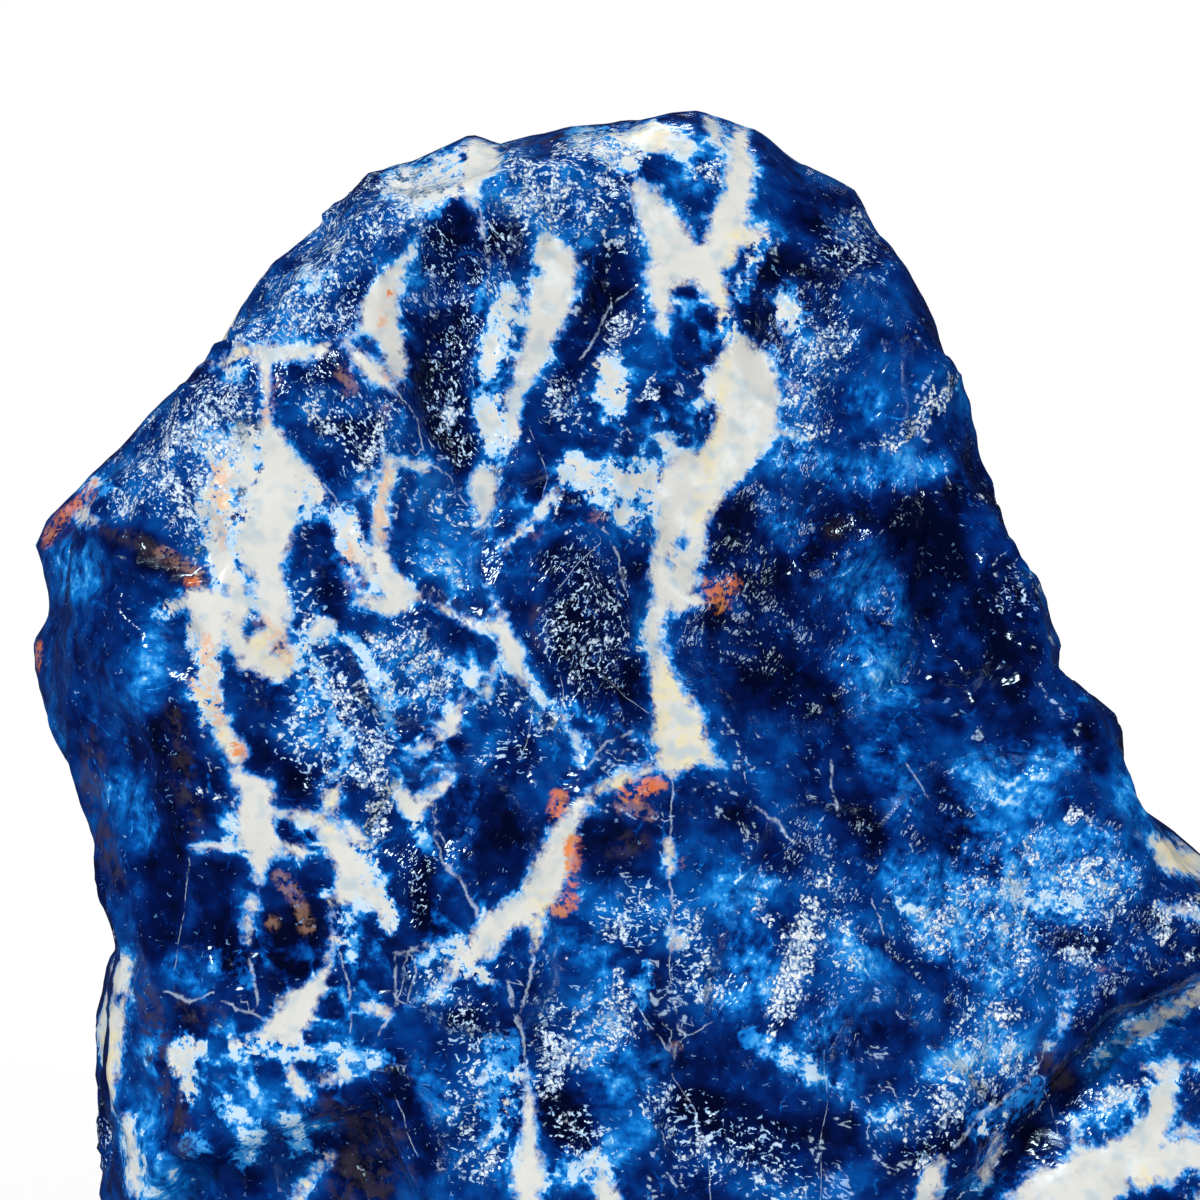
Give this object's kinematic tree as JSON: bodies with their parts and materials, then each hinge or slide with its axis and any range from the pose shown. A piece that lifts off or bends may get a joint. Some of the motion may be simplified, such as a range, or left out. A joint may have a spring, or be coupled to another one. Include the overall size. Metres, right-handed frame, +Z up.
{
  "type": "rough sodalite",
  "caption": "Blocky rough lump of blue sodalite with white and cream veins, glossy broken faces, and a flat spot below that it stands on.",
  "frame": {"origin": "middle of the bounding box's bottom face, on the surface the stone stands on", "axes": "+Z up, +X to the right seen from the broad front face, +Y from that face to the back"},
  "size_m": [0.1375, 0.0746, 0.1334],
  "materials": {
    "sodalite": "hackly broken stone with a wet gloss, deep blue to black-blue, with white, cream and a little rust-orange vein matter"
  },
  "bodies": {
    "root": {"rough_sodalite": "sodalite"}
  },
  "joints": []
}
